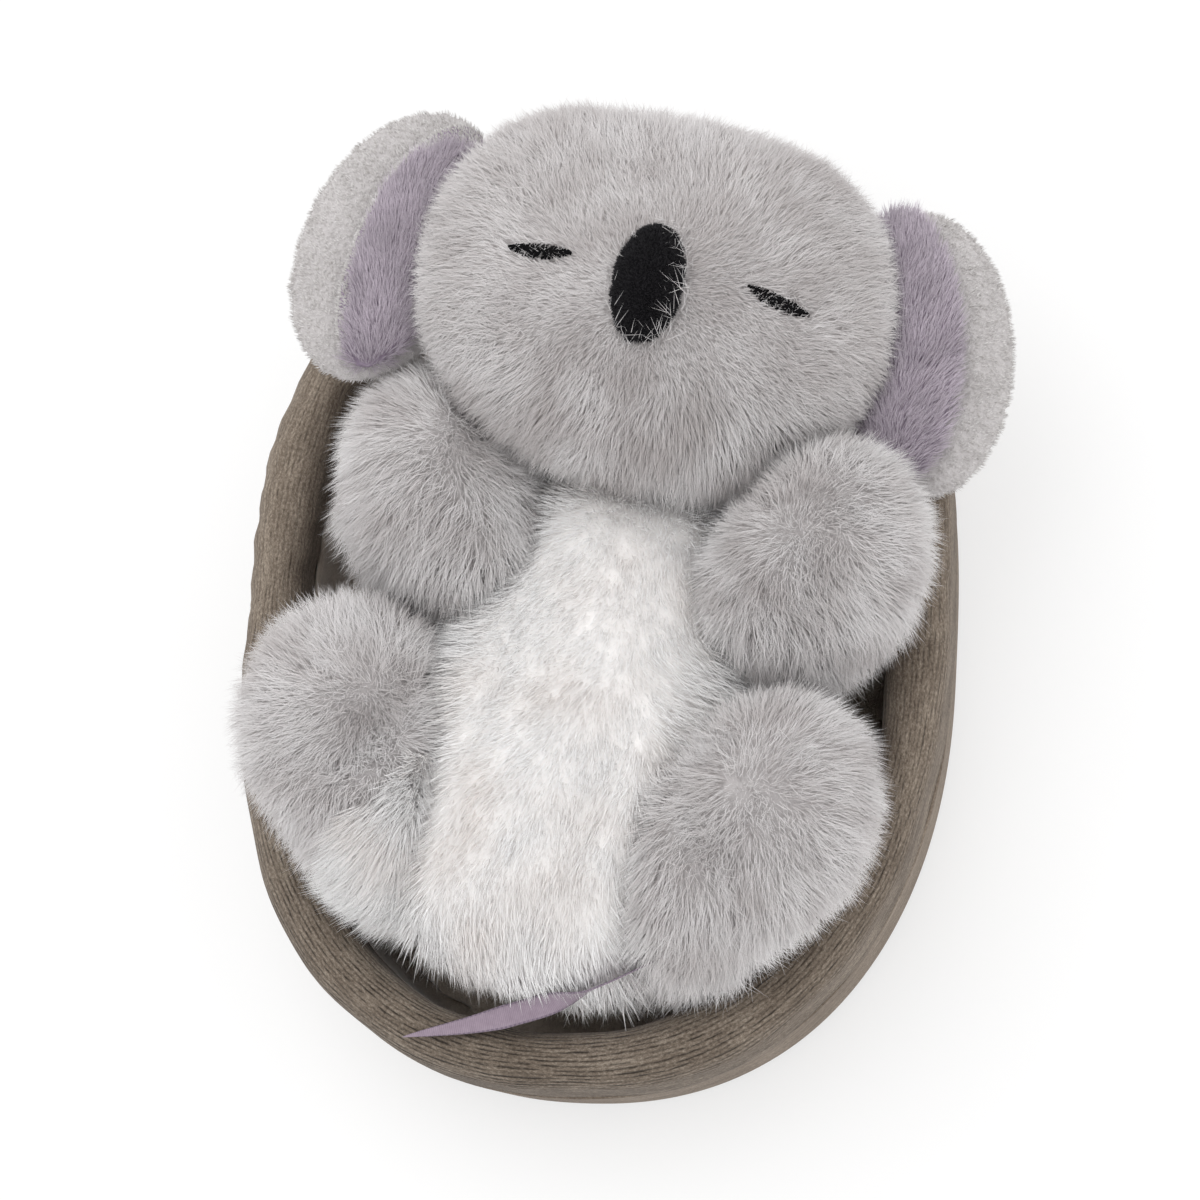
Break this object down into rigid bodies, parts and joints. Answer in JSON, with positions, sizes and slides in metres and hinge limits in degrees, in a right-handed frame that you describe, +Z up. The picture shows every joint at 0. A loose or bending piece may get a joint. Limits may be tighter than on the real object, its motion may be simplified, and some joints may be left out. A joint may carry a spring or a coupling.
{
  "type": "plush koala in a padded bed",
  "caption": "soft plush koala with closed eyes, lying on its back in an oval padded corduroy bed that it lifts out of",
  "frame": {"origin": "the middle of the bed's underside, on the surface that it stands on", "axes": "+Z up, +Y towards the head end of the bed, +X to the right of someone who stands at the foot end"},
  "size_m": [0.2392, 0.2924, 0.1376],
  "materials": {
    "corduroy": "matte",
    "bed_lining": "matte",
    "board": "matte",
    "padding": "matte",
    "grey_fur": "matte",
    "white_fur": "matte",
    "lavender_fur": "matte",
    "ear_pile": "matte",
    "black_pile": "matte",
    "black_thread": "matte",
    "ribbon": "satin",
    "pouch_cloth": "matte"
  },
  "bodies": {
    "bed": {"bed_base_panel": "corduroy", "bed_base_board": "board", "bed_wall_padding": "padding", "bed_outer_panel": "corduroy", "bed_rim_band": "corduroy", "bed_lining": "bed_lining", "bed_mattress": "bed_lining"},
    "koala_torso": {"torso": "grey_fur", "belly_panel": "white_fur", "bean_pouch": "pouch_cloth", "back_panel": "grey_fur", "ribbon": "ribbon"},
    "koala_head": {"head": "grey_fur", "nose": "black_pile", "eye_left": "black_thread", "eye_right": "black_thread"},
    "left_ear": {"ear_left": "ear_pile", "ear_lining_left": "lavender_fur"},
    "right_ear": {"ear_right": "ear_pile", "ear_lining_right": "lavender_fur"},
    "left_arm": {"arm_left": "grey_fur"},
    "right_arm": {"arm_right": "grey_fur"},
    "left_leg": {"leg_left": "grey_fur"},
    "right_leg": {"leg_right": "grey_fur"}
  },
  "joints": [
    {"name": "koala_lift", "type": "slide", "parent": "bed", "child": "koala_torso", "axis": [0, 0, 1], "range_m": [0, 0.16]},
    {"name": "neck", "type": "hinge", "parent": "koala_torso", "child": "koala_head", "pos_m": [0.01882, 0.03913, 0.0934], "axis": [0.9781, -0.2079, 0], "range_deg": [0, 20]},
    {"name": "left_shoulder", "type": "hinge", "parent": "koala_torso", "child": "left_arm", "pos_m": [-0.02528, 0.00965, 0.0594], "axis": [0.9781, -0.2079, 0], "range_deg": [0, 25]},
    {"name": "right_shoulder", "type": "hinge", "parent": "koala_torso", "child": "right_arm", "pos_m": [0.04711, -0.00574, 0.0594], "axis": [0.9781, -0.2079, 0], "range_deg": [0, 25]},
    {"name": "left_hip", "type": "hinge", "parent": "koala_torso", "child": "left_leg", "pos_m": [-0.04176, -0.07272, 0.0514], "axis": [0.9781, -0.2079, 0], "range_deg": [0, 25]},
    {"name": "right_hip", "type": "hinge", "parent": "koala_torso", "child": "right_leg", "pos_m": [0.02866, -0.08769, 0.0514], "axis": [0.9781, -0.2079, 0], "range_deg": [0, 25]},
    {"name": "left_ear_fold", "type": "hinge", "parent": "koala_head", "child": "left_ear", "pos_m": [-0.03762, 0.1076, 0.10764], "axis": [0.1564, 0.9877, 0], "range_deg": [0, 25]},
    {"name": "right_ear_fold", "type": "hinge", "parent": "koala_head", "child": "right_ear", "pos_m": [0.08604, 0.08801, 0.08103], "axis": [-0.1564, -0.9877, 0], "range_deg": [0, 25]}
  ]
}
